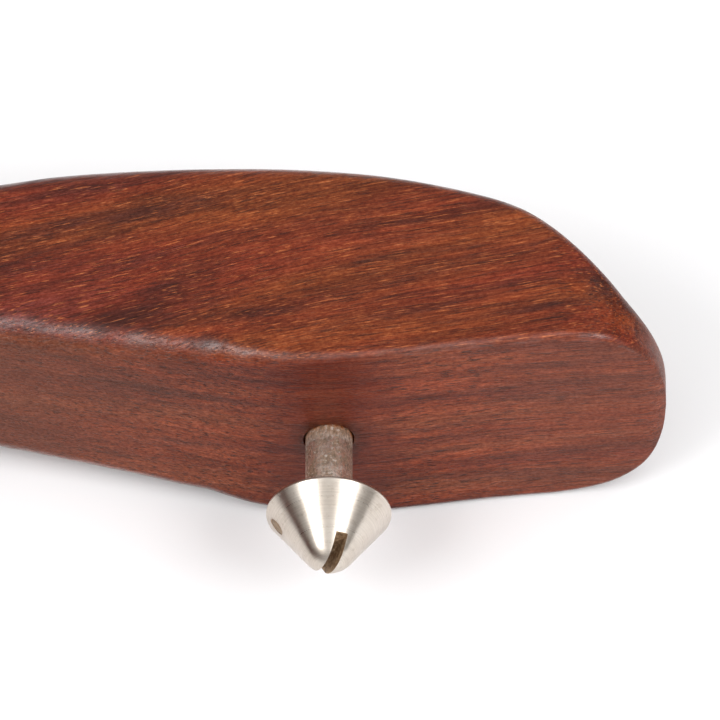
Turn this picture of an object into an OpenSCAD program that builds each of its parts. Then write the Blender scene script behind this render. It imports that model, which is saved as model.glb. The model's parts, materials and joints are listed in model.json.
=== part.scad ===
// Leather stitching pony, lying on its side with its jaws open.
// The origin is the centre of the tail's end face. +X runs towards the lips,
// +Z is across the jaws, and the pony rests on z = -jaw_w/2.

/* [Jaws] */
// Width of the jaws across the lips
jaw_w = 46.5; // [46:0.5:47]
// Length from the tail's end face to the stud
stud_x = 255; // [250:1:260]
// Angle that the jaws stand open
open_angle = 30; // [26:1:34]
// Gap left between the closed lips
lip_gap = 0.4; // [0.3:0.1:1]

/* [Stud] */
// Diameter of the plain stud rod
rod_d = 8; // [7:0.5:8]
// Length of rod that shows between the jaw and the cone
rod_show = 15.4; // [14.8:0.1:16]
// Height of the stud above the jaw's mid-plane
stud_z = -0.7; // [-1.7:0.2:-0.1]
// Diameter of the cone's base
cone_d = 21.2; // [20.8:0.1:21.2]
// Angle between the cone's flank and its axis
cone_angle = 35.5; // [35:0.5:36]
// Radius of the cone's rounded nose
nose_r = 5.2; // [5:0.1:5.6]
// Width of the screwdriver slot
slot_w = 2.1; // [1.5:0.1:3]
// Depth of the screwdriver slot
slot_depth = 3.9; // [3.4:0.1:4]
// Angle of the slot from upright
slot_angle = 25; // [0:5:90]
// Turns that the stud unscrews
stud_turns = 4; // [1:1:4]
// Pitch of the stud's thread
pitch = 1.25; // [1:0.25:1.25]

/* [Hinge] */
// Diameter of the hinge pin
pin_d = 8; // [7:0.5:8]
// Radius of the fork's rounded cheeks
cheek_r = 14; // [13.5:0.5:14]
// Width of the tongue between the cheeks
tongue_w = 16.4; // [15:0.2:17]
// Thickness of the cheek plates
plate_t = 3; // [2.5:0.5:3.5]

/* [Lock] */
// Diameter of the hole that takes the cone
receiver_d = 22.4; // [22:0.1:23]
// Travel of the keyhole slide
lock_travel = 12; // [11:0.5:12]
// Thickness of the keyhole slide
lock_t = 2.6; // [2:0.1:2.6]

/* [Tail] */
// Spacing of the two tail inserts
insert_gap = 22; // [18:1:24]
// Tapping radius of the tail inserts
insert_r = 3.4; // [3:0.1:4]

/* [Hidden] */
$fn = 64;
nose_c = 0.5+(cone_d/2-nose_r/cos(cone_angle))/tan(cone_angle);  // centre of the nose's sphere above the cone's base
nose_cut = nose_c+nose_r*sin(cone_angle);  // where the flank meets the nose
nose_cut_r = nose_r*cos(cone_angle);
cone_l = nose_c+nose_r;
hx = -210;            // hinge axis, in the jaw's own layout, where the stud is at x = 0
hy = -10;
hw = jaw_w/2;
rod_r = rod_d/2;
pin_r = pin_d/2;
tw = tongue_w/2;
slot_hw = tw + 0.9;   // half the fork's slot
out = stud_turns*pitch;
in_y = -8.5;          // bottom of the hollow in the second jaw, when closed
rp_t = 3;             // receiver plate
lock_y = in_y - rp_t - 0.3;
tail = -255;

// smooth curve through hand-chosen points
function cr(a,b,c,d,t) = 0.5*((2*b)+(c-a)*t+(2*a-5*b+4*c-d)*t*t+(3*b-a-3*c+d)*t*t*t);
function smooth(P,n) = concat(
  [for(i=[0:len(P)-2]) for(j=[0:n-1])
    cr(P[max(i-1,0)],P[i],P[i+1],P[min(i+2,len(P)-1)],j/n)],
  [P[len(P)-1]]);
function flip(P) = [for(i=[len(P)-1:-1:0]) [P[i][0],-P[i][1]]];

// first jaw, plan: inner face, then lip end, then back
stud_inner = [[-198,-9],[-188,-5.5],[-172,2],[-153,9],[-130,13],[-102,13.7],[-76,11.8],[-55,8.5],
  [-36,4.9],[-22,2.2],[-12,0.2],[-5,-0.4],[3,-0.2],[12,0.6],[28,2.8],[40,4],[50,4.7]];
stud_end = [[54.8,5.2],[57.3,6.4],[58.5,8.2],[57.2,10.1],[54.2,12.3]];
stud_back = [[50.8,15.3],[46.8,19.6],[42.5,24.1],[38.5,27.9],[34,31.5],[29,34],[22,36.2],[12,38.6],[0,40.4],
  [-15,41.8],[-30,42.6],[-45,42.3],[-58,40.7],[-82,38],[-115,34.4],[-150,30.5],[-180,25],[-205,18.5],[-228,16]];
// second jaw, plan, in its closed place
lip_in = [[-199,-11.2],[-186,-11.2],[-168,-14],[-145,-18],[-115,-19],[-90,-15],[-74,-10]];
lock_back = [[52.5,-7],[47,-18],[40,-28.5],[31,-37.5],[18,-44],[0,-47.5],[-20,-48.5],[-42,-47.5],[-70,-44],
  [-100,-40.5],[-130,-38.5],[-160,-36.5],[-185,-34],[-198,-32]];
// half width of both jaws along their length
side = [[-192,23.25],[-180,22],[-160,19.2],[-135,17.8],[-100,17.5],[-75,17.9],[-55,19.1],[-36,20.2],
  [-22,21.4],[-10,22.5],[0,23],[8,23.25]];
side_end = [[38.5,23.25],[43,22.6],[46.6,21.6],[49.7,20],[52.4,17.8],[54.6,14.9],[56.2,11],[57.1,6.2],[57.35,0]];

// the layout's zero is at the stud; the part's zero is at the tail
module place() translate([stud_x, 4, 0]) children();
// swings the second jaw from its closed place to where it stands open
module opened() translate([hx,hy,0]) rotate([0,0,-open_angle]) translate([-hx,-hy,0]) children();
// cylinder along y from a to b
module ycyl(r,a,b,x=0,z=0) translate([x,a,z]) rotate([-90,0,0]) cylinder(r=r,h=b-a);
module zcyl(r,a,b,x=0,y=0) translate([x,y,a]) cylinder(r=r,h=b-a);
// slab in x and z, lying between two heights in y
module slab(a,b) translate([0,b,0]) rotate([90,0,0]) linear_extrude(b-a) children();

module side_shape() {
  top = concat([[tail-1,hw],[-200,hw]],smooth(side,3),smooth(side_end,2));
  polygon(concat(top,[for(i=[len(top)-2:-1:0]) [top[i][0],-top[i][1]]]));
}
module stud_plan() {
  polygon(concat([[tail,-24],[-209,-24],[-209,-9.5]],smooth(stud_inner,3),smooth(stud_end,3),
    smooth(stud_back,3),[[-240,16],[tail,16]]));
}
module stud_blank() {
  intersection() {
    union() {
      translate([0,0,-hw]) linear_extrude(jaw_w) stud_plan();
      zcyl(cheek_r,-hw,hw,hx,hy);
    }
    slab(-60,60) side_shape();
  }
}

module cheek_outline(r, x0, y0, y1) {
  translate([hx,hy]) circle(r);
  translate([x0,y0]) square([hx-x0,y1-y0]);
}

module stud_jaw() place() color([0.52,0.22,0.12]) difference() {
  stud_blank();
  // fork
  zcyl(15,-slot_hw,slot_hw,hx,hy);
  translate([hx-12,hy-40,-slot_hw]) cube([40,40,2*slot_hw]);
  // hinge pin and cheek plates
  zcyl(pin_r,-hw-1,hw+1,hx,hy);
  for(s=[-1,1]) translate([0,0,s>0?hw-plate_t:-hw-1]) linear_extrude(plate_t+1) cheek_outline(12,-247,hy-12,hy+12);
  for(s=[-1,1]) for(p=screw_xy) zcyl(1.8,s>0?hw-plate_t-12:-hw+plate_t-1,s>0?hw-plate_t+1:-hw+plate_t+12,p[0],p[1]);
  // stud
  ycyl(rod_r+0.15,-1,14.5,0,stud_z);
  ycyl(7,14,60,0,stud_z);
  // tail inserts
  for(s=[-1,1]) translate([tail-1,-4+s*insert_gap/2,0]) rotate([0,90,0]) cylinder(r=6,h=21);
  // spring screws
  for(x=spring_x) spring_hole(x);
}
screw_xy = [[-227,-17],[-227,-3],[-241,-10]];

module stud_insert() place() color([0.78,0.62,0.32]) difference() {
  ycyl(7,14,30,0,stud_z);
  ycyl(rod_r+0.05,13,31,0,stud_z);
}
module insert_plug() place() color([0.46,0.2,0.11]) intersection() {
  ycyl(7,30,60,0,stud_z);
  stud_blank();
}
module hinge_pin() place() color([0.6,0.6,0.6]) difference() {
  union() {
    zcyl(pin_r,-hw+2.2,hw-1.8,hx,hy);
    zcyl(7,hw-2,hw-0.2,hx,hy);
  }
  zcyl(2.5,-hw,-hw+16,hx,hy);
  translate([hx-8,hy-0.9,hw-1.2]) cube([16,1.8,2]);
}
module pin_end_screw() place() color([0.6,0.6,0.6]) difference() {
  union() {
    zcyl(7,-hw+0.2,-hw+2,hx,hy);
    zcyl(2.5,-hw+1,-hw+14,hx,hy);
  }
  translate([hx-8,hy-0.9,-hw-0.8]) cube([16,1.8,2]);
}
module cheek_plate(s) difference() {
  translate([0,0,s>0?hw-plate_t:-hw]) linear_extrude(plate_t) cheek_outline(12,-247,hy-12,hy+12);
  zcyl(pin_r,-hw-1,hw+1,hx,hy);
  zcyl(7.1,s>0?hw-2:-hw-1,s>0?hw+1:-hw+2,hx,hy);
  for(p=screw_xy) {
    zcyl(1.9,-hw-1,hw+1,p[0],p[1]);
    translate([p[0],p[1],s*hw]) mirror([0,0,s>0?1:0]) translate([0,0,-0.01]) cylinder(r1=3.9,r2=1.9,h=2.21);
  }
}
module cheek_plate_upper() place() color([0.62,0.62,0.62]) cheek_plate(1);
module cheek_plate_lower() place() color([0.62,0.62,0.62]) cheek_plate(-1);
// countersunk wood screw, head at z = 0 and shank below, with a driver slot
module wood_screw(hr,sr,l) difference() {
  union() {
    translate([0,0,-2.1]) cylinder(r1=sr,r2=hr,h=2);
    translate([0,0,-l]) cylinder(r=sr,h=l-2);
  }
  translate([-5,-0.5,-0.8]) cube([10,1,2]);
}
module cheek_screws() place() color([0.68,0.68,0.66]) for(s=[-1,1]) for(i=[0:2])
  translate([screw_xy[i][0],screw_xy[i][1],s*(hw-0.1)]) mirror([0,0,s>0?0:1]) rotate([0,0,25+50*i]) wood_screw(3.6,1.75,14);
module thrust_washers() place() color([0.8,0.66,0.36]) for(s=[-1,1]) difference() {
  zcyl(11,s>0?tw+0.1:-slot_hw+0.1,s>0?slot_hw-0.1:-tw-0.1,hx,hy);
  zcyl(pin_r+0.1,-hw,hw,hx,hy);
}
module tail_inserts() place() color([0.78,0.62,0.32]) for(s=[-1,1])
  translate([tail,-4+s*insert_gap/2,0]) rotate([0,90,0]) difference() {
    cylinder(r=6,h=20);
    translate([0,0,-1]) cylinder(r=insert_r,h=19);
  }

// spread spring: two flat legs and a bend, close to the hinge; the fixed leg lies on the first jaw
spring_x = [-163,-151];
sp_t = 0.9;
sp_w = 13;
sa = 18;              // lie of the first jaw's inner face there
sp0 = [-157,7.8];
module on_inner() translate([sp0[0],sp0[1],0]) rotate([0,0,sa]) children();
module spring_hole(x) translate([sp0[0],sp0[1],0]) rotate([0,0,sa]) translate([(x-sp0[0])/cos(sa),-3,0]) rotate([-90,0,0]) cylinder(r=1.5,h=14);
function arc2(c,r,a,b,n) = [for(i=[0:n]) [c[0]+r*cos(a+(b-a)*i/n),c[1]+r*sin(a+(b-a)*i/n)]];
// line of the spring: fixed leg from its free end back to the bend, round it, and out along the second jaw
sp_path = smooth([[-141,10.9],[-150,8.9],[-160,6],[-170,2],[-180,-2.6],[-186.5,-6.2],[-190.5,-10.5],[-191,-15],
  [-188.8,-20.6],[-184.4,-26.1],[-175,-33.7],[-163.7,-43.4],[-149,-54]],3);
module strip(P,t) {
  n = len(P);
  d = [for(i=[0:n-1]) let(v=P[min(i+1,n-1)]-P[max(i-1,0)]) [-v[1],v[0]]/norm(v)];
  polygon(concat([for(i=[0:n-1]) P[i]+d[i]*t/2],[for(i=[n-1:-1:0]) P[i]-d[i]*t/2]));
}
module spread_spring() place() color([0.35,0.36,0.38]) difference() {
  translate([0,0,-sp_w/2]) linear_extrude(sp_w) strip(sp_path,sp_t);
  for(x=spring_x) spring_hole(x);
}
module spring_screws() place() color([0.68,0.68,0.66]) for(x=spring_x)
  on_inner() translate([(x-sp0[0])/cos(sa),-1.7,0]) rotate([90,0,0]) difference() {
    union() { cylinder(r=3,h=1.6); translate([0,0,-10]) cylinder(r=1.45,h=10.5); }
    translate([-5,-0.5,0.9]) cube([10,1,2]);
  }

module stud_rod() place() color([0.42,0.36,0.31]) ycyl(rod_r,-rod_show-6.6,29,0,stud_z);
module cone_blank(g=0) {
  r = cone_d/2-g;
  cylinder(r=r,h=0.5);
  translate([0,0,0.5]) cylinder(r1=r,r2=nose_cut_r-g,h=nose_cut-0.5,$fn=128);
  translate([0,0,nose_c]) sphere(r=nose_r-0.03-g,$fn=96);
}
module grub_place() translate([0,0,3]) rotate([0,0,181]) rotate([0,90,0]) children();
module stud_cone() place() color([0.74,0.73,0.71]) translate([0,-rod_show,stud_z]) rotate([90,0,0]) difference() {
  cone_blank();
  translate([0,0,-0.1]) cylinder(r=rod_r+0.05,h=6.9);
  // screwdriver slot across the nose
  rotate([0,0,-slot_angle]) translate([-slot_w/2,-15,cone_l-slot_depth]) cube([slot_w,30,20]);
  // grub screw's hole
  grub_place() cylinder(r=1.3,h=12);
}
// the grub screw's outer end is filed flush with the flank
module cone_grub_screw() place() color([0.36,0.3,0.26]) translate([0,-rod_show,stud_z]) rotate([90,0,0]) intersection() {
  cone_blank(0.06);
  grub_place() translate([0,0,4.05]) cylinder(r=1.25,h=8);
}

module latch_plan() polygon(concat(smooth(lip_in,3),
  [[-66,in_y],[30.5,in_y],[33.5,-6],[36.5,0],[40,4-lip_gap-0.1],[50.5,4.7-lip_gap-0.1],[54.5,4.2],[56.4,2.4],[56.6,0.2]],
  smooth(lock_back,3)));
module latch_blank() intersection() {
  translate([0,0,-hw]) linear_extrude(jaw_w) latch_plan();
  slab(-60,60) side_shape();
}
rp_screws = [[26,stud_z+13],[26,stud_z-13],[-31,stud_z+13],[-31,stud_z-13],[-63,stud_z]];
module receiver_outline() {
  translate([-35,stud_z-18]) square([65,36]);
  translate([-67,stud_z-9]) square([34,18]);
}
module latch_jaw() place() opened() color([0.5,0.21,0.12]) difference() {
  union() {
    difference() {
      latch_blank();
      for(s=[-1,1]) zcyl(cheek_r+1.5,s>0?tw:-hw-1,s>0?hw+1:-tw,hx,hy);
    }
    // tongue
    translate([0,0,-tw]) linear_extrude(tongue_w) {
      translate([hx,hy]) circle(13);
      polygon([[hx,hy-13],[hx+14,hy-20],[hx+32,hy-22],[hx+32,hy-2.5],[hx+10,hy-0.5],[hx,hy]]);
    }
  }
  zcyl(6,-hw,hw,hx,hy);
  // receiver
  slab(in_y-rp_t,in_y+20) intersection() { receiver_outline(); translate([-80,-40]) square([110,80]); }
  ycyl(11.5,-37,in_y,0,stud_z);
  slab(lock_y-lock_t-0.3,lock_y+1) {
    translate([-27,stud_z-14]) square([48.5,28]);
    translate([-59,stud_z-7.5]) square([33,15]);
    translate([-59,stud_z]) square([21.5,30]);
  }
  for(p=rp_screws) ycyl(1.45,in_y-rp_t-12,in_y,p[0],p[1]);
}
module hinge_bush() place() opened() color([0.72,0.55,0.3]) difference() {
  zcyl(6,-tw,tw,hx,hy);
  zcyl(pin_r+0.05,-hw,hw,hx,hy);
}
module receiver_plate() place() opened() color([0.66,0.66,0.66]) difference() {
  slab(in_y-rp_t,in_y) receiver_outline();
  ycyl(receiver_d/2,in_y-9,in_y+9,0,stud_z);
  for(p=rp_screws) {
    ycyl(1.6,in_y-9,in_y+9,p[0],p[1]);
    translate([p[0],in_y+0.01,p[1]]) rotate([90,0,0]) cylinder(r1=3.25,r2=1.6,h=2.2);
  }
}
module receiver_screws() place() opened() color([0.68,0.68,0.66]) for(i=[0:4])
  translate([rp_screws[i][0],in_y-0.1,rp_screws[i][1]]) rotate([-90,0,0]) rotate([0,0,20+40*i]) wood_screw(3,1.4,13);
module lock_slide() place() opened() color([0.6,0.61,0.62]) difference() {
  slab(lock_y-lock_t,lock_y) difference() {
    union() {
      translate([-14,stud_z-13.5]) square([34.5,27]);
      translate([-46,stud_z-7]) square([33,14]);
      translate([-46,stud_z]) square([8,25-stud_z]);
    }
    // the keyhole's narrow end takes the rod behind the cone's shoulder
    translate([0,stud_z-rod_r-0.3]) square([lock_travel,2*rod_r+0.6]);
  }
  ycyl(receiver_d/2,lock_y-9,lock_y+9,0,stud_z);
  ycyl(rod_r+0.3,lock_y-9,lock_y+9,lock_travel,stud_z);
  ycyl(1.25,lock_y-9,lock_y+9,-42,23.2);
}
module lock_knob() place() opened() color([0.12,0.12,0.13]) difference() {
  zcyl(6,20.6,26.5,-42,lock_y-lock_t/2);
  translate([-46,lock_y-lock_t,20]) cube([8,lock_t,5]);
  ycyl(1.25,lock_y-9,lock_y+9,-42,23.2);
}
module knob_screw() place() opened() color([0.68,0.68,0.66])
  ycyl(1.2,lock_y-lock_t/2-5.2,lock_y-lock_t/2+5.2,-42,23.2);

stud_jaw();
stud_insert();
insert_plug();
hinge_pin();
pin_end_screw();
cheek_plate_upper();
cheek_plate_lower();
cheek_screws();
thrust_washers();
tail_inserts();
spread_spring();
spring_screws();
stud_rod();
stud_cone();
cone_grub_screw();
latch_jaw();
hinge_bush();
receiver_plate();
receiver_screws();
lock_slide();
lock_knob();
knob_screw();
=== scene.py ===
import json
import math

import bmesh
import bpy
import numpy as np
from mathutils import Matrix, Vector, noise

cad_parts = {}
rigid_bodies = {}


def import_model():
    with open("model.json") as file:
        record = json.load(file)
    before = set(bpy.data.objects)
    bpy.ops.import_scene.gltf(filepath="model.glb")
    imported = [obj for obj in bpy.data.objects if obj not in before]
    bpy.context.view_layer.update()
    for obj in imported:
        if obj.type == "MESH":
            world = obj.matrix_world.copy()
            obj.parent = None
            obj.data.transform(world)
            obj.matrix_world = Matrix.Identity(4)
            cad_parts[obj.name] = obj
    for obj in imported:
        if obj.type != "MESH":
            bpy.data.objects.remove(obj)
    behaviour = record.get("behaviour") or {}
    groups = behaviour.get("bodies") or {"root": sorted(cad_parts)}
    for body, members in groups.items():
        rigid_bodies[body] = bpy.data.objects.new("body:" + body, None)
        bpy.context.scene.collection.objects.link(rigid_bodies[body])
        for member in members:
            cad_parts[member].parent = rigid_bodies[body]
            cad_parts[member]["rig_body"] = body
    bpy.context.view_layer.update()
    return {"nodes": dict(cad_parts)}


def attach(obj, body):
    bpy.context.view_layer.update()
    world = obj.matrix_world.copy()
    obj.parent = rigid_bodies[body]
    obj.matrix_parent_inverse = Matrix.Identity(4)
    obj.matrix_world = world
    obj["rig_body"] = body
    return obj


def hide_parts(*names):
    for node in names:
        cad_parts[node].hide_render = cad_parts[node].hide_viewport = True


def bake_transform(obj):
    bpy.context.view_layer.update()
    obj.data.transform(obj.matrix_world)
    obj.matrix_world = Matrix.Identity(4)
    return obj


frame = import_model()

MM = 0.001

# The layout of part.scad: its zero is at the stud, and the row's zero is at the tail.
OX, OY, OZ = 255.0, 4.0, 0.0
HX, HY = -210.0, -10.0
HW = 23.25
OPEN = math.radians(-30.0)
STUD_Z = -0.7
# the cone: base radius, flank angle, nose radius, height of the nose's centre, length, height of the slot's floor
CR, CA, NR = 10.6, math.radians(35.5), 5.2
NC = 0.5 + (CR - NR / math.cos(CA)) / math.tan(CA)
CL = NC + NR
SLOT_H = CL - 3.9
ROD_R = 4.0
SHOW = 15.4
TW = 8.2
IN_Y = -8.5


def row(x, y, z=0.0):
    """Layout millimetres to row metres."""
    return Vector(((x + OX) * MM, (y + OY) * MM, (z + OZ) * MM))


OPENED = (
    Matrix.Translation(row(HX, HY))
    @ Matrix.Rotation(OPEN, 4, "Z")
    @ Matrix.Translation(-row(HX, HY))
)

# ---------------------------------------------------------------- curves


def smooth(points, n):
    p = [np.array(q, float) for q in points]
    out = []
    for i in range(len(p) - 1):
        a, b, c, d = p[max(i - 1, 0)], p[i], p[i + 1], p[min(i + 2, len(p) - 1)]
        for j in range(n):
            t = j / n
            out.append(
                0.5
                * (
                    (2 * b)
                    + (c - a) * t
                    + (2 * a - 5 * b + 4 * c - d) * t * t
                    + (3 * b - a - 3 * c + d) * t * t * t
                )
            )
    out.append(p[-1])
    return np.array(out)


STUD_INNER = [(-198, -9), (-188, -5.5), (-172, 2), (-153, 9), (-130, 13), (-102, 13.7), (-76, 11.8),
              (-55, 8.5), (-36, 4.9), (-22, 2.2), (-12, 0.2), (-5, -0.4), (3, -0.2), (12, 0.6), (28, 2.8),
              (40, 4), (50, 4.7)]
STUD_END = [(54.8, 5.2), (57.3, 6.4), (58.5, 8.2), (57.2, 10.1), (54.2, 12.3)]
STUD_BACK = [(50.8, 15.3), (46.8, 19.6), (42.5, 24.1), (38.5, 27.9), (34, 31.5), (29, 34), (22, 36.2),
             (12, 38.6), (0, 40.4), (-15, 41.8), (-30, 42.6), (-45, 42.3), (-58, 40.7), (-82, 38),
             (-115, 34.4), (-150, 30.5), (-180, 25), (-205, 18.5), (-228, 16)]
LIP_IN = [(-199, -11.2), (-186, -11.2), (-168, -14), (-145, -18), (-115, -19), (-90, -15), (-74, -10)]
LOCK_BACK = [(52.5, -7), (47, -18), (40, -28.5), (31, -37.5), (18, -44), (0, -47.5), (-20, -48.5),
             (-42, -47.5), (-70, -44), (-100, -40.5), (-130, -38.5), (-160, -36.5), (-185, -34),
             (-198, -32)]
SIDE = [(-192, 23.25), (-180, 22), (-160, 19.2), (-135, 17.8), (-100, 17.5), (-75, 17.9),
        (-55, 19.1), (-36, 20.2), (-22, 21.4), (-10, 22.5), (0, 23), (8, 23.25)]
SIDE_END = [(38.5, 23.25), (43, 22.6), (46.6, 21.6), (49.7, 20), (52.4, 17.8), (54.6, 14.9), (56.2, 11),
            (57.1, 6.2), (57.35, 0)]


def by_x(points):
    """A curve as y over x, sorted, with doubled x dropped."""
    p = np.array(sorted(map(tuple, points)), float)
    keep = np.concatenate([[True], np.diff(p[:, 0]) > 1e-6])
    return p[keep]


def at(curve, x):
    return float(np.interp(x, curve[:, 0], curve[:, 1]))


_side = by_x(np.vstack([[(-260, 23.25), (-196, 23.25)], smooth(SIDE, 10), smooth(SIDE_END, 10)]))


def half(x):
    return at(_side, x)


_loop = smooth(STUD_INNER + STUD_END + STUD_BACK, 12)
_tip = int(np.argmax(_loop[:, 0]))
_s_near = by_x(_loop[: _tip + 1])
_s_back = by_x(np.vstack([_loop[_tip:], [(-240, 16), (-256, 16)]]))
S_TIP = SIDE_END[-1][0]

_g = 0.4
_lip_face = [(-70, IN_Y), (30.0, IN_Y), (33.5, -6), (36.5, 0), (40, 4 - _g - 0.1), (50.5, 4.7 - _g - 0.1),
             (54.5, 4.2), (56.4, 2.4)]
_l_in = by_x(np.vstack([smooth(LIP_IN, 12)[:-6], _lip_face]))
_l_back = by_x(np.vstack([smooth([(56.6, 0.2)] + LOCK_BACK, 12)]))
L_TIP = 56.5

# ---------------------------------------------------------------- mesh helpers


def link(obj):
    bpy.context.scene.collection.objects.link(obj)
    return obj


def new_mesh(name, verts, faces, smooth_shade=True):
    me = bpy.data.meshes.new(name)
    me.from_pydata([tuple(v) for v in verts], [], faces)
    me.update()
    ob = link(bpy.data.objects.new(name, me))
    if smooth_shade:
        me.shade_smooth()
    return ob


def apply_mods(ob):
    bpy.context.view_layer.update()
    deps = bpy.context.evaluated_depsgraph_get()
    me = bpy.data.meshes.new_from_object(ob.evaluated_get(deps))
    old = ob.data
    ob.modifiers.clear()
    ob.data = me
    bpy.data.meshes.remove(old)
    return ob


def cut(ob, *cutters):
    for c in cutters:
        m = ob.modifiers.new("cut", "BOOLEAN")
        m.operation = "DIFFERENCE"
        m.solver = "EXACT"
        m.object = c
        apply_mods(ob)
        me = c.data
        bpy.data.objects.remove(c)
        bpy.data.meshes.remove(me)
    return ob


def sharp_shade(ob, angle=35.0):
    """Smooth shading that stays sharp across edges steeper than angle."""
    bm = bmesh.new()
    bm.from_mesh(ob.data)
    lim = math.radians(angle)
    for e in bm.edges:
        e.smooth = not (len(e.link_faces) == 2 and e.calc_face_angle(0.0) > lim)
    for f in bm.faces:
        f.smooth = True
    bm.to_mesh(ob.data)
    bm.free()
    m = ob.modifiers.new("normals", "WEIGHTED_NORMAL")
    m.keep_sharp = True
    m.weight = 60
    return ob


def lathe(name, profile, seg, origin, axis, cap=True):
    """Turns (radius, height) points round an axis through origin. Radius 0 closes an end to a point."""
    axis = Vector(axis).normalized()
    u = axis.orthogonal().normalized()
    v = axis.cross(u)
    verts, faces, rings = [], [], []
    for r, h in profile:
        if r < 1e-6:
            rings.append([len(verts)])
            verts.append(origin + axis * h * MM)
            continue
        ring = []
        for k in range(seg):
            a = 2 * math.pi * k / seg
            ring.append(len(verts))
            verts.append(origin + axis * h * MM + (u * math.cos(a) + v * math.sin(a)) * r * MM)
        rings.append(ring)
    for a, b in zip(rings, rings[1:]):
        for k in range(seg):
            k2 = (k + 1) % seg
            if len(a) == 1 and len(b) == 1:
                continue
            if len(a) == 1:
                faces.append((a[0], b[k2], b[k]))
            elif len(b) == 1:
                faces.append((a[k], a[k2], b[0]))
            else:
                faces.append((a[k], a[k2], b[k2], b[k]))
    if cap:
        if len(rings[0]) > 1:
            faces.append(tuple(reversed(rings[0])))
        if len(rings[-1]) > 1:
            faces.append(tuple(rings[-1]))
    ob = new_mesh(name, verts, faces)
    bm = bmesh.new()
    bm.from_mesh(ob.data)
    bmesh.ops.recalc_face_normals(bm, faces=bm.faces)
    bm.to_mesh(ob.data)
    bm.free()
    return ob


def cyl(r, a, b, x, y, z, axis, seg=96):
    """Cutter: a cylinder in layout millimetres, from a to b along axis (X, Y or Z)."""
    d = {"X": (1, 0, 0), "Y": (0, 1, 0), "Z": (0, 0, 1)}[axis]
    return lathe("cutter", [(r, a), (r, b)], seg, row(x, y, z), d)


def prism(points, z0, z1, plane="XY"):
    """Cutter: a polygon in layout millimetres, stretched between two heights."""
    n = len(points)
    verts = []
    for z in (z0, z1):
        for p, q in points:
            verts.append(row(p, q, z) if plane == "XY" else row(p, z, q))
    faces = [tuple(range(n)), tuple(range(n, 2 * n))]
    faces += [(k, (k + 1) % n, n + (k + 1) % n, n + k) for k in range(n)]
    ob = new_mesh("cutter", verts, faces, False)
    bm = bmesh.new()
    bm.from_mesh(ob.data)
    bmesh.ops.recalc_face_normals(bm, faces=bm.faces)
    bm.to_mesh(ob.data)
    bm.free()
    return ob


def ring_pts(cx, cy, r, a0, a1, n):
    return [
        (cx + r * math.cos(math.radians(a0 + (a1 - a0) * k / n)),
         cy + r * math.sin(math.radians(a0 + (a1 - a0) * k / n)))
        for k in range(n + 1)
    ]


def section(y0, y1, h, rn, rb, nc=8, ns=8, nt=16):
    """A rounded cross-section in y and z: near wall, top, back wall, underside."""
    w = y1 - y0
    lim = 0.47 * min(w, 2 * h)
    rn, rb = min(rn, lim), min(rb, lim)
    pts = []

    def line(p, q, n):
        for k in range(n):
            t = k / n
            pts.append((p[0] + (q[0] - p[0]) * t, p[1] + (q[1] - p[1]) * t))

    def arc(cy, cz, r, a0, a1, n):
        for k in range(n):
            a = math.radians(a0 + (a1 - a0) * k / n)
            pts.append((cy + r * math.cos(a), cz + r * math.sin(a)))

    line((y0, -h + rn), (y0, h - rn), ns)
    arc(y0 + rn, h - rn, rn, 180, 90, nc)
    line((y0 + rn, h), (y1 - rb, h), nt)
    arc(y1 - rb, h - rb, rb, 90, 0, nc)
    line((y1, h - rb), (y1, -h + rb), ns)
    arc(y1 - rb, -h + rb, rb, 0, -90, nc)
    line((y1 - rb, -h), (y0 + rn, -h), nt)
    arc(y0 + rn, -h + rn, rn, -90, -180, nc)
    return pts


def loft(name, xs, near, back, height, rn, rb, matrix=None):
    """Skins rounded sections set along x."""
    verts, faces = [], []
    n = 0
    for x in xs:
        pts = section(near(x), back(x), height(x), rn(x), rb(x))
        n = len(pts)
        for y, z in pts:
            v = row(x, y, z)
            verts.append(matrix @ v if matrix else v)
    for i in range(len(xs) - 1):
        for k in range(n):
            k2 = (k + 1) % n
            a, b = i * n, (i + 1) * n
            faces.append((a + k, a + k2, b + k2, b + k))
    faces.append(tuple(range(n)))
    faces.append(tuple(range((len(xs) - 1) * n, len(xs) * n)))
    ob = new_mesh(name, verts, faces)
    bm = bmesh.new()
    bm.from_mesh(ob.data)
    bmesh.ops.remove_doubles(bm, verts=bm.verts, dist=1e-6)
    bmesh.ops.recalc_face_normals(bm, faces=bm.faces)
    bm.to_mesh(ob.data)
    bm.free()
    return ob


def ramp_xs(a, b, step):
    n = max(1, int(round((b - a) / step)))
    return [a + (b - a) * k / n for k in range(n + 1)]


def tip_xs(a, tip, n):
    """Stations that bunch up towards the tip."""
    return [a + (tip - a) * math.sin(0.5 * math.pi * k / n) for k in range(1, n + 1)]


# ---------------------------------------------------------------- materials


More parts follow.
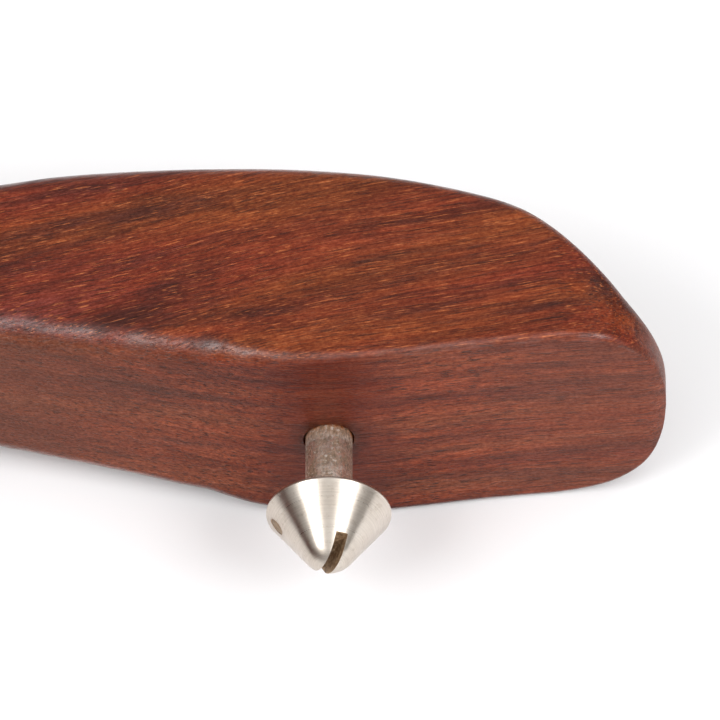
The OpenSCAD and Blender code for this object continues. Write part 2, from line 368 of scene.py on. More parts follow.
class Nodes:
    """A short way to wire a node material."""

    def __init__(self, name):
        self.mat = bpy.data.materials.new(name)
        self.mat.use_nodes = True
        self.t = self.mat.node_tree
        self.t.nodes.clear()
        self.out = self.t.nodes.new("ShaderNodeOutputMaterial")
        self.bsdf = self.t.nodes.new("ShaderNodeBsdfPrincipled")
        self.t.links.new(self.bsdf.outputs[0], self.out.inputs[0])

    def add(self, kind, **props):
        n = self.t.nodes.new("ShaderNode" + kind)
        for k, v in props.items():
            setattr(n, k, v)
        return n

    def link(self, a, b):
        self.t.links.new(a, b)

    def coords(self, rot=(0, 0, 0), scale=(1, 1, 1), loc=(0, 0, 0)):
        tc = self.add("TexCoord")
        m = self.add("Mapping")
        m.vector_type = "POINT"
        m.inputs["Rotation"].default_value = rot
        m.inputs["Scale"].default_value = scale
        m.inputs["Location"].default_value = loc
        self.link(tc.outputs["Object"], m.inputs["Vector"])
        return m.outputs[0]

    def chain(self, vec, rot=(0, 0, 0), scale=(1, 1, 1), loc=(0, 0, 0)):
        m = self.add("Mapping")
        m.inputs["Rotation"].default_value = rot
        m.inputs["Scale"].default_value = scale
        m.inputs["Location"].default_value = loc
        self.link(vec, m.inputs["Vector"])
        return m.outputs[0]

    def noise(self, vec, scale=1.0, detail=4.0, rough=0.5, distortion=0.0):
        n = self.add("TexNoise")
        n.inputs["Scale"].default_value = scale
        n.inputs["Detail"].default_value = detail
        n.inputs["Roughness"].default_value = rough
        n.inputs["Distortion"].default_value = distortion
        self.link(vec, n.inputs["Vector"])
        return n.outputs[0]

    def ramp(self, fac, stops, interp="LINEAR"):
        r = self.add("ValToRGB")
        r.color_ramp.interpolation = interp
        e = r.color_ramp.elements
        while len(e) > len(stops):
            e.remove(e[-1])
        while len(e) < len(stops):
            e.new(0.5)
        for k, (p, c) in enumerate(stops):
            e[k].position = p
            e[k].color = (c, c, c, 1) if isinstance(c, (int, float)) else (*c, 1)
        self.link(fac, r.inputs[0])
        return r.outputs[0]

    def mix(self, fac, a, b, mode="MIX"):
        m = self.add("Mix", data_type="RGBA", blend_type=mode)
        if isinstance(fac, (int, float)):
            m.inputs[0].default_value = fac
        else:
            self.link(fac, m.inputs[0])
        for k, v in ((6, a), (7, b)):
            if isinstance(v, (tuple, list)):
                m.inputs[k].default_value = (*v, 1)
            else:
                self.link(v, m.inputs[k])
        return m.outputs[2]

    def math(self, op, a, b=None, clamp=False):
        m = self.add("Math", operation=op, use_clamp=clamp)
        for k, v in ((0, a), (1, b)):
            if v is None:
                continue
            if isinstance(v, (int, float)):
                m.inputs[k].default_value = v
            else:
                self.link(v, m.inputs[k])
        return m.outputs[0]

    def bump(self, height, strength, distance, normal=None):
        b = self.add("Bump")
        b.inputs["Strength"].default_value = strength
        b.inputs["Distance"].default_value = distance
        self.link(height, b.inputs["Height"])
        if normal is not None:
            self.link(normal, b.inputs["Normal"])
        return b.outputs[0]

    def set(self, **values):
        names = {"rough": "Roughness", "metal": "Metallic", "aniso": "Anisotropic", "coat": "Coat Weight",
                 "coat_rough": "Coat Roughness", "spec": "Specular IOR Level", "ior": "IOR",
                 "sheen": "Sheen Weight", "sheen_rough": "Sheen Roughness"}
        for k, v in values.items():
            self.bsdf.inputs[names[k]].default_value = v
        return self


def srgb(r, g, b):
    def lin(c):
        c /= 255.0
        return c / 12.92 if c <= 0.04045 else ((c + 0.055) / 1.055) ** 2.4
    return (lin(r), lin(g), lin(b))


def grain(m, base, side):
    """One cut through the wood: the flat-sawn faces show pale dashes, the edges darker lines."""
    # slow wander, so that no streak is dead straight
    wander = m.noise(m.chain(base, scale=(14, 50, 50)), 1.0, 2.0, 0.5)
    wvec = m.add("VectorMath", operation="MULTIPLY_ADD")
    comb = m.add("CombineXYZ")
    m.link(wander, comb.inputs[1])
    m.link(wander, comb.inputs[2])
    m.link(comb.outputs[0], wvec.inputs[0])
    wvec.inputs[1].default_value = (0, 0.003, 0.003) if side else (0, 0.004, 0.003)
    m.link(base, wvec.inputs[2])
    g = wvec.outputs[0]
    if side:
        tones = [(0.32, srgb(96, 35, 18)), (0.5, srgb(118, 50, 25)), (0.68, srgb(124, 62, 36))]
        patch = m.noise(m.chain(g, scale=(10, 60, 160), loc=(2, 1, 4)), 1.0, 4.0, 0.55)
    else:
        tones = [(0.34, srgb(90, 35, 27)), (0.5, srgb(104, 38, 19)), (0.66, srgb(113, 51, 21))]
        patch = m.noise(m.chain(g, scale=(9, 60, 60), loc=(2, 1, 4)), 1.0, 3.0, 0.5)
    col = m.ramp(patch, tones)
    # dark purplish figure along the grain, in wide and in narrow bands
    figure = m.noise(m.chain(g, scale=(14, 150, 240), loc=(5, 3, 9)), 1.0, 5.0, 0.62)
    fm = m.ramp(figure, [(0.47, 0.0), (0.64, 1.0)])
    col = m.mix(m.math("MULTIPLY", fm, 0.62 if side else 0.74), col, srgb(58, 29, 24) if side else srgb(50, 21, 18))
    bands = m.noise(m.chain(g, scale=(12, 260, 620 if side else 480), loc=(8, 2, 5)), 1.0, 4.0, 0.6)
    col = m.mix(0.75, col, m.ramp(bands, [(0.32, 0.56), (0.5, 0.97), (0.68, 1.3)]), "MULTIPLY")
    # threads of paler and darker fibre, a few tenths of a millimetre wide. Here and in the finer fibre below, the pale
    # end is whitened: a painted glint on top of the fibre's own tone.
    thread = m.noise(m.chain(g, scale=(50, 1500, 1500)), 1.0, 4.0, 0.65)
    col = m.mix(0.8, col, m.ramp(thread, [(0.30, (0.55, 0.46, 0.38)), (0.5, 1.0), (0.70, (1.42, 1.5, 1.6))]), "MULTIPLY")
    fibre = m.noise(m.chain(g, scale=(240, 4200, 3800), loc=(1, 6, 3)), 1.0, 3.0, 0.62)
    col = m.mix(0.85, col, m.ramp(fibre, [(0.28, (0.60, 0.40, 0.28)), (0.5, 1.0), (0.72, (1.38, 1.65, 1.95))]), "MULTIPLY")
    # pale dashes: a painted glint where a cut vessel shines, weaker on the edges
    pale = m.noise(m.chain(g, scale=(200, 4400, 4400), loc=(-4, 9, 6)), 1.0, 1.0, 0.4)
    pl = m.ramp(pale, [(0.62, 0.0), (0.73, 1.0)])
    col = m.mix(m.math("MULTIPLY", pl, 0.2 if side else 0.55), col, srgb(182, 102, 56))
    # dark pores: short dashes along the grain
    pores = m.noise(m.chain(g, scale=(170, 3600, 3000), loc=(11, 5, 2)), 1.0, 2.0, 0.45)
    pd = m.ramp(pores, [(0.57, 0.0), (0.67, 1.0)])
    col = m.mix(m.math("MULTIPLY", pd, 0.74 if side else 0.56), col, srgb(34, 16, 13))
    h = m.math("ADD", m.math("MULTIPLY", fibre, 0.6), m.math("MULTIPLY", pd, -0.8))
    h = m.math("ADD", h, m.math("MULTIPLY", thread, 0.8))
    return col, h, thread


def wood(name, turn=0.0, dark=0.0, stud=False):
    """Oiled red-brown hardwood. The grain runs along x; in the flat faces it rises 12 degrees towards +y."""
    m = Nodes(name)
    tc = m.add("TexCoord")
    ns = m.add("SeparateXYZ")
    m.link(tc.outputs["Normal"], ns.inputs[0])
    flat = m.math("ABSOLUTE", ns.outputs[2])
    base = m.coords(rot=(0, 0, -turn - math.radians(12)))
    edge = m.coords(rot=(0, 0, -turn - math.radians(1.5)))
    ct, ht, tt = grain(m, base, False)
    cs, hs, ts = grain(m, edge, True)
    fac = m.ramp(flat, [(0.42, 0.0), (0.7, 1.0)])
    near = m.math("SUBTRACT", 1.0, fac, clamp=True)
    if stud:
        # browner and less red down the stave: the wood's own tone with a painted sheen mixed in. Redder and darker
        # round the stud, where oil and rust have crept out
        sx = m.add("SeparateXYZ")
        m.link(tc.outputs["Object"], sx.inputs[0])
        px = m.math("MULTIPLY", m.math("ADD", sx.outputs[0], -0.2), 10.0)
        cs = m.mix(m.math("MULTIPLY", m.ramp(px, [(0.05, 1.0), (0.40, 0.0)]), 0.5), cs, srgb(104, 60, 42))
        cs = m.mix(m.math("MULTIPLY", m.ramp(px, [(0.72, 0.0), (0.92, 1.0)]), 0.35), cs, srgb(104, 54, 38))
        cs = m.mix(m.math("MULTIPLY", m.ramp(px, [(0.38, 0.0), (0.53, 1.0), (0.58, 1.0), (0.70, 0.0)]), 0.68), cs,
                   srgb(84, 24, 10))
        dx = m.math("ADD", sx.outputs[0], -row(0, 0)[0])
        dz = m.math("ADD", sx.outputs[2], -STUD_Z * MM)
        rr = m.math("SQRT", m.math("ADD", m.math("MULTIPLY", dx, dx), m.math("MULTIPLY", dz, dz)))
        soft = m.noise(m.chain(base, scale=(500, 500, 500), loc=(7, 7, 7)), 1.0, 3.0, 0.6)
        rr = m.math("ADD", m.math("MULTIPLY", rr, 100.0), m.math("MULTIPLY", soft, 0.5))
        halo = m.ramp(rr, [(0.62, 1.0), (0.84, 0.45), (1.2, 0.0)])
        cs = m.mix(m.math("MULTIPLY", halo, 0.8), cs, srgb(52, 22, 9))
        rim = m.math("MULTIPLY", m.ramp(rr, [(0.60, 1.0), (0.78, 0.0)]), m.ramp(soft, [(0.46, 0.0), (0.6, 1.0)]))
        cs = m.mix(m.math("MULTIPLY", rim, 0.6), cs, srgb(140, 74, 28))
    col = m.mix(fac, cs, ct)
    if stud:
        # the torn spot on the inner arris, darker
        kx = m.math("MULTIPLY", m.math("ADD", sx.outputs[0], -row(-20.5, 0)[0]), 210.0)
        ky = m.math("MULTIPLY", m.math("ADD", sx.outputs[1], -row(0, 4.2)[1]), 420.0)
        kz = m.math("MULTIPLY", m.math("ADD", sx.outputs[2], -(HW - 1.6) * MM), 380.0)
        kk = m.math("SQRT", m.math("ADD", m.math("ADD", m.math("MULTIPLY", kx, kx), m.math("MULTIPLY", ky, ky)), m.math("MULTIPLY", kz, kz)))
        kk = m.math("ADD", kk, m.math("MULTIPLY", m.math("SUBTRACT", soft, 0.5), 1.6))
        knot = m.ramp(kk, [(0.25, 1.0), (0.95, 0.0)])
        col = m.mix(m.math("MULTIPLY", knot, 0.7), col, srgb(44, 20, 17))
    # fine grit, paler and darker; its pale end is whitened, a painted glint over the wood's own speckle
    grit = m.noise(m.chain(base, scale=(1500, 2600, 2600), loc=(3, 3, 3)), 1.0, 2.0, 0.6)
    col = m.mix(0.8, col, m.ramp(grit, [(0.3, (0.64, 0.42, 0.30)), (0.5, 1.0), (0.7, (1.36, 1.65, 1.95))]), "MULTIPLY")
    if dark:
        col = m.mix(dark, col, srgb(60, 26, 16))
    m.link(col, m.bsdf.inputs["Base Color"])
    # the arrises are polished by handling, and scuffed here and there
    polish = m.ramp(flat, [(0.10, 0.0), (0.35, 1.0), (0.85, 1.0), (0.985, 0.0)])
    scuff = m.noise(m.chain(base, scale=(160, 420, 420), loc=(6, 2, 8)), 1.0, 4.0, 0.65)
    polish = m.math("MULTIPLY", polish, m.ramp(scuff, [(0.36, 0.25), (0.58, 1.0)]))
    endwise = m.math("ABSOLUTE", ns.outputs[0])
    polish = m.math("MULTIPLY", polish, m.ramp(endwise, [(0.25, 1.0), (0.5, 0.1)]))
    rough = m.mix(fac, m.ramp(ts, [(0.3, 0.46), (0.7, 0.34)]), m.ramp(tt, [(0.3, 0.44), (0.7, 0.32)]))
    rough = m.mix(polish, rough, (0.33, 0.33, 0.33))
    m.link(rough, m.bsdf.inputs["Roughness"])
    m.link(m.math("MULTIPLY", polish, 0.9), m.bsdf.inputs["Coat Weight"])
    m.set(spec=0.18, coat_rough=0.3)
    h = m.math("ADD", m.mix(fac, hs, ht), m.math("MULTIPLY", grit, 0.3))
    h = m.math("ADD", h, m.math("MULTIPLY", scuff, 2.0))
    m.link(m.bump(h, 0.5, 0.00014), m.bsdf.inputs["Normal"])
    m.link(m.bump(h, 0.3, 0.00014), m.bsdf.inputs["Coat Normal"])
    return m.mat


def steel(name, color, rough=0.3, scratch=(20, 900, 900), rot=(0, 0, 0), depth=0.1, var=0.12, metal=1.0):
    """Brushed or ground metal: fine lines in one direction and a little uneven tone."""
    m = Nodes(name)
    v = m.coords(rot=rot)
    lines = m.noise(m.chain(v, scale=scratch), 1.0, 4.0, 0.6)
    cloud = m.noise(m.chain(v, scale=(90, 90, 90)), 1.0, 4.0, 0.6)
    lo = tuple(c * (1 - var) for c in color)
    hi = tuple(min(1, c * (1 + var)) for c in color)
    col = m.mix(m.ramp(cloud, [(0.35, 0.0), (0.65, 1.0)]), lo, hi)
    col = m.mix(0.35, col, m.ramp(lines, [(0.3, 0.55), (0.7, 1.25)]), "MULTIPLY")
    m.link(col, m.bsdf.inputs["Base Color"])
    r = m.ramp(lines, [(0.3, rough * 1.25), (0.7, rough * 0.8)])
    m.link(r, m.bsdf.inputs["Roughness"])
    m.link(m.bump(lines, depth, 0.00005), m.bsdf.inputs["Normal"])
    m.set(metal=metal)
    return m.mat


def aged_steel(name):
    """Plain mild steel bar, browned and mottled, with rust near the wood."""
    m = Nodes(name)
    v = m.coords()
    mott = m.noise(m.chain(v, scale=(650, 500, 650)), 1.0, 6.0, 0.68)
    fine = m.noise(m.chain(v, scale=(2600, 1800, 2600)), 1.0, 4.0, 0.6)
    col = m.ramp(mott, [(0.30, srgb(124, 100, 78)), (0.42, srgb(176, 154, 132)), (0.54, srgb(220, 206, 188)), (0.68, srgb(246, 240, 230))])
    col = m.mix(0.75, col, m.ramp(fine, [(0.35, 0.45), (0.5, 1.0), (0.65, 1.5)]), "MULTIPLY")
    bright = m.noise(m.chain(v, scale=(1900, 1900, 1900), loc=(4, 4, 2)), 1.0, 2.0, 0.6)
    col = m.mix(m.ramp(bright, [(0.56, 0.0), (0.66, 0.9)]), col, srgb(252, 246, 236))
    sep = m.add("SeparateXYZ")
    m.link(v, sep.inputs[0])
    near = m.add("MapRange")
    near.inputs["From Min"].default_value = (OY - 2.8) * MM
    near.inputs["From Max"].default_value = (OY - 0.2) * MM
    near.clamp = True
    m.link(sep.outputs[1], near.inputs["Value"])
    rust = m.math("MULTIPLY", near.outputs[0], m.ramp(mott, [(0.35, 0.3), (0.55, 1.0)]))
    col = m.mix(rust, col, m.ramp(fine, [(0.35, srgb(92, 44, 18)), (0.6, srgb(156, 90, 40))]))
    m.link(col, m.bsdf.inputs["Base Color"])
    m.link(m.ramp(fine, [(0.35, 0.48), (0.65, 0.28)]), m.bsdf.inputs["Roughness"])
    m.link(m.math("MULTIPLY", m.ramp(mott, [(0.32, 0.45), (0.5, 0.95)]), m.math("SUBTRACT", 1.0, rust, clamp=True)), m.bsdf.inputs["Metallic"])
    m.link(m.bump(m.math("ADD", mott, m.math("MULTIPLY", fine, 0.7)), 0.5, 0.0001), m.bsdf.inputs["Normal"])
    return m.mat


def turned_steel(name, centre):
    """Turned steel: fine tool rings round the axis, dark in the slot and round the grub screw."""
    m = Nodes(name)
    v = m.coords(loc=tuple(-c for c in centre))
    sep = m.add("SeparateXYZ")
    m.link(v, sep.inputs[0])
    x, y, z = (m.math("MULTIPLY", sep.outputs[k], 1000.0) for k in range(3))
    # rings depend only on the place along the axis
    comb = m.add("CombineXYZ")
    m.link(y, comb.inputs[0])
    rings = m.noise(m.chain(comb.outputs[0], scale=(5.2, 1, 1)), 1.0, 3.0, 0.7)
    wide = m.noise(m.chain(comb.outputs[0], scale=(0.9, 1, 1), loc=(4, 0, 0)), 1.0, 3.0, 0.6)
    cloud = m.noise(m.chain(v, scale=(160, 160, 160)), 1.0, 4.0, 0.6)
    speck = m.noise(m.chain(v, scale=(1500, 1500, 1500)), 1.0, 3.0, 0.6)
    col = m.ramp(rings, [(0.3, srgb(180, 170, 158)), (0.7, srgb(228, 218, 206))])
    col = m.mix(0.4, col, m.ramp(cloud, [(0.35, srgb(182, 170, 158)), (0.65, srgb(226, 218, 209))]))
    # slot walls: |x cos 25 - z sin 25| under half the slot's width
    a = math.radians(25)
    u = m.math("ABSOLUTE", m.math("SUBTRACT", m.math("MULTIPLY", x, math.cos(a)), m.math("MULTIPLY", z, math.sin(a))))
    slot = m.math("MULTIPLY", m.math("LESS_THAN", u, 1.062), m.math("LESS_THAN", y, -SLOT_H + 0.02))
    # the grub screw's hole
    b = math.radians(181)
    q = m.math("SUBTRACT", m.math("MULTIPLY", x, math.sin(b)), m.math("MULTIPLY", z, math.cos(b)))
    yy = m.math("ADD", y, 3.0)
    d = m.math("SQRT", m.math("ADD", m.math("MULTIPLY", q, q), m.math("MULTIPLY", yy, yy)))
    left = m.math("LESS_THAN", x, 0.0)
    hole = m.math("MULTIPLY", m.math("LESS_THAN", d, 1.312), left)
    halo = m.math("MULTIPLY", m.ramp(m.math("MULTIPLY", d, 0.4), [(0.5, 0.9), (0.58, 0.35), (0.7, 0.0)]), left)
    col = m.mix(m.math("MULTIPLY", halo, m.ramp(speck, [(0.4, 0.2), (0.55, 1.0)])), col, srgb(128, 94, 66))
    worn = m.ramp(speck, [(0.3, srgb(100, 76, 52)), (0.5, srgb(150, 122, 92)), (0.7, srgb(190, 168, 138))])
    dirt = m.noise(m.chain(v, scale=(900, 900, 900), loc=(9, 1, 5)), 1.0, 4.0, 0.7)
    col = m.mix(m.ramp(dirt, [(0.56, 0.0), (0.72, 0.45)]), col, srgb(150, 132, 112))
    dark = m.math("MAXIMUM", slot, hole)
    col = m.mix(dark, col, worn)
    m.link(col, m.bsdf.inputs["Base Color"])
    r = m.ramp(wide, [(0.3, 0.34), (0.7, 0.26)])
    m.link(m.mix(dark, r, (0.5, 0.5, 0.5)), m.bsdf.inputs["Roughness"])
    m.link(m.bump(rings, 0.4, 0.00003), m.bsdf.inputs["Normal"])
    t = m.add("Tangent", direction_type="RADIAL", axis="Y")
    m.link(t.outputs[0], m.bsdf.inputs["Tangent"])
    m.bsdf.inputs["Anisotropic Rotation"].default_value = 0.25
    m.set(aniso=0.7)
    m.link(m.ramp(dark, [(0.0, 1.0), (1.0, 0.55)]), m.bsdf.inputs["Metallic"])
    return m.mat


def plastic(name):
    m = Nodes(name)
    v = m.coords()
    n = m.noise(m.chain(v, scale=(1400, 1400, 1400)), 1.0, 3.0, 0.6)
    m.link(m.ramp(n, [(0.3, srgb(24, 24, 26)), (0.7, srgb(38, 38, 41))]), m.bsdf.inputs["Base Color"])
    m.link(m.ramp(n, [(0.3, 0.55), (0.7, 0.42)]), m.bsdf.inputs["Roughness"])
    m.link(m.bump(n, 0.25, 0.00006), m.bsdf.inputs["Normal"])
    return m.mat


W_STUD = wood("hardwood_stud", stud=True)
W_LATCH = wood("hardwood_latch", turn=OPEN)
W_PLUG = wood("hardwood_plug", turn=math.radians(35), dark=0.25)
M_PLATE = steel("steel_plate", srgb(186, 186, 184), 0.33, (25, 1100, 1100))
M_SCREW = steel("steel_screw", srgb(190, 189, 184), 0.3, (500, 500, 500), depth=0.05)
M_PIN = steel("steel_pin", srgb(178, 178, 178), 0.26, (400, 400, 30), depth=0.05)
M_SPRING = steel("spring_steel", srgb(92, 96, 108), 0.34, (900, 900, 40), depth=0.06)
M_BRASS = steel("brass", srgb(208, 168, 88), 0.3, (600, 600, 600), depth=0.05)
M_BRONZE = steel("bronze", srgb(184, 138, 82), 0.34, (600, 600, 600), depth=0.05)
M_DARK = steel("dark_steel", srgb(86, 70, 58), 0.5, (700, 700, 700), depth=0.1, metal=0.8)
M_GRUB = steel("grub_steel", srgb(150, 126, 100), 0.42, (1500, 1500, 1500), depth=0.2, metal=0.9)
M_ROD = aged_steel("aged_steel")
M_CONE = turned_steel("turned_steel", row(0, -SHOW, STUD_Z))
M_KNOB = plastic("black_knob")

# ---------------------------------------------------------------- the two jaws


def stud_near(x):
    if x <= -210:
        return -24.0
    if x < -196.2:
        return -10 - math.sqrt(max(14 ** 2 - (x + 210) ** 2, 0.0))
    return at(_s_near, max(x, -198))


def stud_back(x):
    return at(_s_back, x)


def r_near(x):
    """Rounding of the inner arrises: crisp at the lip, soft on the stave."""
    r = float(np.interp(x, [-256, -215, -200, -190, -150, -60, -30, -12, 4, 50, 57], [1.2, 1.2, 0.8, 2.5, 5.5, 5.6, 4.6, 2.9, 1.7, 1.7, 2.2]))
    # a dent where the fibres once tore out
    return r + 0.8 * math.exp(-((x + 20.5) / 3.6) ** 2)


def r_back(x):
    return float(np.interp(x, [-256, -232, -190, -150, -40, 20, 42, 50, 57], [1.4, 1.6, 3.5, 5, 4, 3, 3.2, 3.6, 2.5]))


def tail_inset(f, sign, start, r=1.0):
    def g(x):
        d = max(0.0, r - (x - start))
        return f(x) + sign * (r - math.sqrt(max(r * r - d * d, 0.0)))
    return g


def outline_plate(r=12.0):
    pts = ring_pts(HX, HY, r, -90, 90, 32)
    return [(-247, HY - r)] + pts + [(-247, HY + r)]


T0 = -255.0
xs = [T0, T0 + 0.1, T0 + 0.3, T0 + 0.6, T0 + 1.0] + ramp_xs(-253, -211, 3)[0:] + ramp_xs(-210, -197, 0.8)
xs += [-196.6, -196.3, -196.15] + ramp_xs(-195.6, -60, 2.2) + ramp_xs(-58.5, 40, 1.3)[0:] + tip_xs(40, S_TIP - 0.001, 34)
stud = loft("stud_jaw_wood", xs, tail_inset(stud_near, 1, T0), tail_inset(stud_back, -1, T0),
            tail_inset(half, -1, T0), r_near, r_back)
cut(
    stud,
    cyl(15, -TW - 0.9, TW + 0.9, HX, HY, 0, "Z"),
    prism([(HX - 12, HY - 40), (HX + 28, HY - 40), (HX + 28, HY), (HX - 12, HY)], -TW - 0.9, TW + 0.9),
    cyl(4.0, -30, 30, HX, HY, 0, "Z", 64),
    prism(outline_plate(), HW - 3, HW + 2),
    prism(outline_plate(), -HW - 2, -HW + 3),
    lathe("cutter", [(4.5, -1.0), (4.32, 0.0), (4.16, 0.22), (4.15, 14.2)], 96, row(0, 0, STUD_Z), (0, 1, 0)),
    cyl(7.0, 14, 60, 0, 0, STUD_Z, "Y"),
    cyl(6.0, -1, 20, T0, -4 - 11, 0, "X", 64),
    cyl(6.0, -1, 20, T0, -4 + 11, 0, "X", 64),
)
sharp_shade(stud, 34)
stud.data.materials.clear()
stud.data.materials.append(W_STUD)
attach(stud, "stand")
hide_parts("stud_jaw")


def latch_in(x):
    return at(_l_in, x)


def latch_back(x):
    return at(_l_back, x)


def r_lin(x):
    return float(np.interp(x, [-198, -190, -150, -80, -66, 28, 34, 40, 57], [0.8, 2.5, 4.5, 3.5, 1.2, 1.2, 1.5, 1.7, 2.2]))


def r_lback(x):
    return float(np.interp(x, [-198, -185, -150, -40, 20, 50, 57], [1.5, 3.5, 5, 4, 3, 2.8, 2.4]))


def loft_latch():
    # the section code wants y0 < y1: here the back is the low side
    xs = [-198.0, -197.9, -197.6, -197.2, -196.8] + ramp_xs(-196, -72, 2.2) + ramp_xs(-70.5, 28.5, 1.5)
    xs += ramp_xs(29, 42, 0.5) + tip_xs(42, L_TIP - 0.002, 30)
    return loft("latch_jaw_wood", xs, tail_inset(latch_back, 1, -198.0), tail_inset(latch_in, -1, -198.0, 0.6),
                tail_inset(half, -1, -198.0), r_lback, r_lin)


latch = loft_latch()
cut(
    latch,
    cyl(15.5, TW, 30, HX, HY, 0, "Z"),
    cyl(15.5, -30, -TW, HX, HY, 0, "Z"),
)
tongue = prism(
    ring_pts(HX, HY, 13, 90, 270, 40) + [(HX + 14, HY - 20), (HX + 32, HY - 22), (HX + 32, HY - 2.5), (HX + 10, HY - 0.5)]
    + ring_pts(HX, HY, 13, 3, 90, 16),
    -TW, TW)
tongue.name = "tongue"
u = latch.modifiers.new("join", "BOOLEAN")
u.operation = "UNION"
u.solver = "EXACT"
u.object = tongue
apply_mods(latch)
bpy.data.objects.remove(tongue)


def receiver_outline(g=0.0, cx=30.0):
    z = STUD_Z
    return [(-67 - g, z - 9 - g), (-35 - g, z - 9 - g), (-35 - g, z - 18 - g), (cx + g, z - 18 - g), (cx + g, z + 18 + g),
            (-35 - g, z + 18 + g), (-35 - g, z + 9 + g), (-67 - g, z + 9 + g)]


LY = IN_Y - 3 - 0.3
cut(
    latch,
    cyl(6.0, -30, 30, HX, HY, 0, "Z", 64),
    prism(receiver_outline(), IN_Y - 3, IN_Y + 20, "XZ"),
    cyl(11.5, -37, IN_Y, 0, 0, STUD_Z, "Y"),
    prism([(-27, STUD_Z - 14), (21.5, STUD_Z - 14), (21.5, STUD_Z + 14), (-27, STUD_Z + 14)], LY - 2.9, LY + 1, "XZ"),
    prism([(-59, STUD_Z - 7.5), (-26, STUD_Z - 7.5), (-26, STUD_Z + 7.5), (-59, STUD_Z + 7.5)], LY - 2.9, LY + 1, "XZ"),
    prism([(-59, STUD_Z), (-37.5, STUD_Z), (-37.5, STUD_Z + 30), (-59, STUD_Z + 30)], LY - 2.9, LY + 1, "XZ"),
)
latch.data.transform(OPENED)
sharp_shade(latch, 34)
latch.data.materials.clear()
latch.data.materials.append(W_LATCH)
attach(latch, "swing_jaw")
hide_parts("latch_jaw")

# ---------------------------------------------------------------- the stud

rod = lathe(
    "stud_rod_bar",
    [(0, -6.6 - SHOW), (3.7, -6.6 - SHOW), (4.0, -6.3 - SHOW)]
    + [(4.0 - 0.02 * (k % 2), -6.3 - SHOW + 0.9 * k) for k in range(1, 38)]
    + [(4.0, 28.4), (3.4, 29.0), (0, 29.0)],
    96, row(0, 0, STUD_Z), (0, 1, 0))
sharp_shade(rod, 30)
rod.data.materials.append(M_ROD)
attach(rod, "rod")
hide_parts("stud_rod")



def cone_profile():
    """Base rim, straight flank and a small rounded tip, as (radius, height from the base)."""
    p = [(4.05, 6.5), (4.05, 0.0), (CR - 0.35, 0.0)]
    p += [(CR - 0.35 + 0.35 * math.sin(a), 0.35 - 0.35 * math.cos(a)) for a in (0.4, 0.8, 1.2, 1.5708)]
    p += [(CR, 0.55)]
    hi = NC + NR * math.sin(CA)
    n = 24
    for k in range(1, n + 1):
        h = 0.55 + (hi - 0.55) * k / n
        p.append((CR - (h - 0.5) * math.tan(CA), h))
    # rounded nose
    for k in range(1, 15):
        a = CA + (math.pi / 2 - CA) * k / 14
        p.append((NR * math.cos(a) if k < 14 else 0.0, NC + NR * math.sin(a)))
    return p


cone = lathe("stud_cone_turned", [(0, 6.5)] + cone_profile(), 192, row(0, -SHOW, STUD_Z), (0, -1, 0), cap=False)


def cone_place(ob):
    ob.data.transform(Matrix.Translation(row(0, -SHOW, STUD_Z)) @ Matrix.Rotation(math.radians(90), 4, "X"))
    return ob


def raw_box(x0, x1, y0, y1, z0, z1):
    v = [Vector((x, y, z)) * MM for x in (x0, x1) for y in (y0, y1) for z in (z0, z1)]
    f = [(0, 1, 3, 2), (4, 6, 7, 5), (0, 4, 5, 1), (2, 3, 7, 6), (0, 2, 6, 4), (1, 5, 7, 3)]
    ob = new_mesh("cutter", v, f, False)
    bm = bmesh.new()
    bm.from_mesh(ob.data)
    bmesh.ops.recalc_face_normals(bm, faces=bm.faces)
    bm.to_mesh(ob.data)
    bm.free()
    return ob


slot_cut = raw_box(-1.05, 1.05, -15, 15, SLOT_H, 30)
slot_cut.data.transform(Matrix.Rotation(math.radians(-25), 4, "Z"))
cone_place(slot_cut)
grub_cut = lathe("cutter", [(1.3, 0), (1.3, 12)], 32, Vector((0, 0, 0)), (1, 0, 0))
grub_cut.data.transform(Matrix.Translation((0, 0, 3.0 * MM)) @ Matrix.Rotation(math.radians(181), 4, "Z"))
cone_place(grub_cut)
cut(cone, slot_cut, grub_cut)
sharp_shade(cone, 28)
cone.data.materials.clear()
cone.data.materials.append(M_CONE)
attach(cone, "cone")
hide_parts("stud_cone")

# ---------------------------------------------------------------- carried-over metal, with eased edges


def eased(node, mat, body, width=0.18, name=None):
    """A copy of a CAD node with its flat faces joined up and its edges broken."""
    src = frame["nodes"][node]
    me = src.data.copy()
    ob = link(bpy.data.objects.new(name or node + "_eased", me))
    bm = bmesh.new()
    bm.from_mesh(me)
    bmesh.ops.remove_doubles(bm, verts=bm.verts, dist=2e-6)
    bmesh.ops.dissolve_limit(bm, angle_limit=math.radians(0.6), verts=bm.verts, edges=bm.edges)
    bm.to_mesh(me)
    bm.free()
    me.materials.clear()
    me.materials.append(mat)
    b = ob.modifiers.new("edges", "BEVEL")
    b.width = width * MM
    b.segments = 2
    b.limit_method = "ANGLE"
    b.angle_limit = math.radians(38)
    b.use_clamp_overlap = True
    apply_mods(ob)
    sharp_shade(ob, 40)
    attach(ob, body)
    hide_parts(node)
    return ob


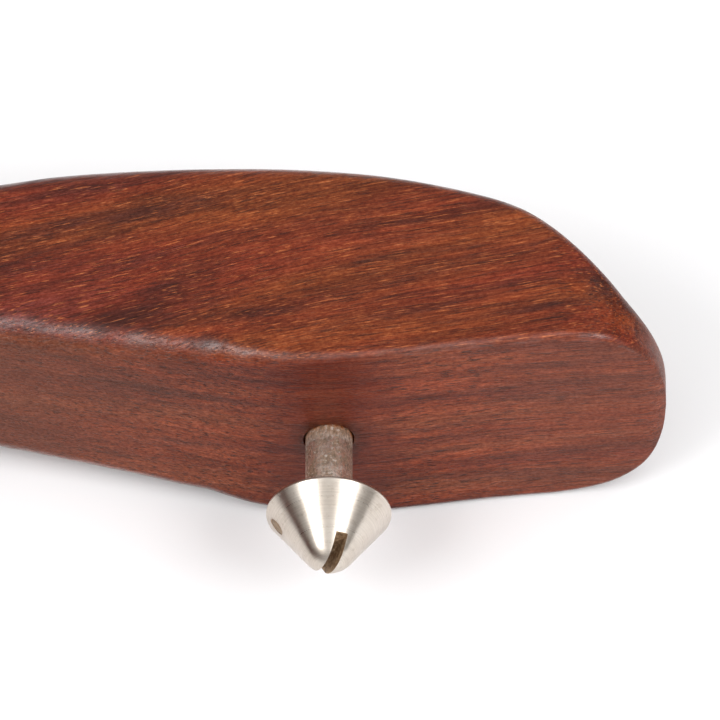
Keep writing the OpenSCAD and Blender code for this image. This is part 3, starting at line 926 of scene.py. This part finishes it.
for node, mat, body, slot, width in [
    ("stud_insert", M_BRASS, "stand", "brass_parts", 0.2),
    ("hinge_pin", M_PIN, "stand", "steel_pin", 0.2),
    ("pin_end_screw", M_PIN, "stand", "steel_pin", 0.2),
    ("cheek_plate_upper", M_PLATE, "stand", "steel_plate", 0.3),
    ("cheek_plate_lower", M_PLATE, "stand", "steel_plate", 0.3),
    ("cheek_screws", M_SCREW, "stand", "steel_screws", 0.1),
    ("thrust_washers", M_BRONZE, "stand", "bronze_parts", 0.08),
    ("tail_inserts", M_BRASS, "stand", "brass_parts", 0.2),
    ("spring_screws", M_SCREW, "stand", "steel_screws", 0.12),
    ("cone_grub_screw", M_GRUB, "cone", "dark_steel", 0.06),
    ("hinge_bush", M_BRONZE, "swing_jaw", "bronze_parts", 0.1),
    ("receiver_plate", M_PLATE, "swing_jaw", "steel_plate", 0.3),
    ("receiver_screws", M_SCREW, "swing_jaw", "steel_screws", 0.1),
    ("lock_slide", M_PLATE, "lock", "steel_plate", 0.15),
    ("lock_knob", M_KNOB, "lock", "black_knob", 0.5),
    ("knob_screw", M_SCREW, "lock", "steel_screws", 0.1),
]:
    eased(node, mat, body, width)

plug = eased("insert_plug", W_PLUG, "stand", 0.05)

# the spread spring: an eased copy, then taken off its body and left unparented, with its placing baked into the mesh
spring = eased("spread_spring", M_SPRING, "stand", 0.12)
spring.parent = None
spring.modifiers.clear()
if "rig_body" in spring:
    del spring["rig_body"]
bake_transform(spring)

# ---------------------------------------------------------------- floor, light and camera

FLOOR_Z = -HW * MM - 0.00005


def stage_plane():
    m = Nodes("floor_white")
    v = m.coords()
    n = m.noise(m.chain(v, scale=(3, 3, 3)), 1.0, 2.0, 0.5)
    m.link(m.ramp(n, [(0.3, (0.845, 0.845, 0.855)), (0.7, (0.86, 0.86, 0.87))]), m.bsdf.inputs["Base Color"])
    m.set(rough=0.7, spec=0.2)
    s = 3.0
    ob = new_mesh("floor", [(-s, -s, FLOOR_Z), (s, -s, FLOOR_Z), (s, s, FLOOR_Z), (-s, s, FLOOR_Z)], [(0, 1, 2, 3)], False)
    ob.data.materials.append(m.mat)
    return ob


stage_plane()

world = bpy.data.worlds.new("studio")
bpy.context.scene.world = world
world.use_nodes = True
bg = world.node_tree.nodes["Background"]
wt = world.node_tree
wc = wt.nodes.new("ShaderNodeTexCoord")
ws = wt.nodes.new("ShaderNodeSeparateXYZ")
wr = wt.nodes.new("ShaderNodeValToRGB")
wt.links.new(wc.outputs["Generated"], ws.inputs[0])
wm = wt.nodes.new("ShaderNodeMath")
wm.operation = "MULTIPLY_ADD"
wm.inputs[1].default_value = -0.35
wt.links.new(ws.outputs[1], wm.inputs[0])
wt.links.new(ws.outputs[2], wm.inputs[2])
wt.links.new(wm.outputs[0], wr.inputs[0])
wt.links.new(wr.outputs[0], bg.inputs[0])
wr.color_ramp.elements[0].position = 0.12
wr.color_ramp.elements[0].color = (0.16, 0.145, 0.13, 1)
wr.color_ramp.elements[1].position = 0.80
wr.color_ramp.elements[1].color = (1.0, 1.0, 1.0, 1)
bg.inputs[1].default_value = 1.0


def area(name, place, target, size, power, color=(1, 1, 1), size_y=None):
    d = bpy.data.lights.new(name, "AREA")
    d.shape = "RECTANGLE"
    d.size = size
    d.size_y = size_y or size
    d.energy = power
    d.color = color
    ob = link(bpy.data.objects.new(name, d))
    ob.location = place
    ob.rotation_euler = (Vector(target) - Vector(place)).to_track_quat("-Z", "Y").to_euler()
    return ob


C = row(5, 10, 0)
area("left", C + Vector((-1.0, -0.72, 1.2)), C, 0.85, 13.5)
area("right", C + Vector((1.0, -0.72, 1.2)), C, 0.85, 13.5)
area("strip_left", C + Vector((-0.65, -1.35, 1.0)), C, 0.7, 1.7, size_y=0.3)
area("strip_right", C + Vector((0.55, -1.35, 1.0)), C, 0.7, 1.7, size_y=0.3)
area("back", C + Vector((0.0, 1.5, 0.8)), C, 1.4, 3.5, size_y=0.5)

scene = bpy.context.scene
scene.view_settings.view_transform = "Standard"
scene.view_settings.look = "None"
scene.view_settings.exposure = 0.0
scene.view_settings.gamma = 1.0

EL = math.radians(54.0)
DIST = 2.20
AIM = row(5.27, -1.04, HW)
cam_data = bpy.data.cameras.new("camera")
cam = link(bpy.data.objects.new("camera", cam_data))
cam.location = AIM - Vector((0, math.cos(EL), -math.sin(EL))) * DIST
cam.rotation_euler = (math.radians(90) - EL, 0, 0)
cam_data.sensor_width = 36.0
cam_data.lens = 36.0 * DIST / 0.1212
cam_data.clip_start = 0.01
cam_data.clip_end = 20.0
scene.camera = cam
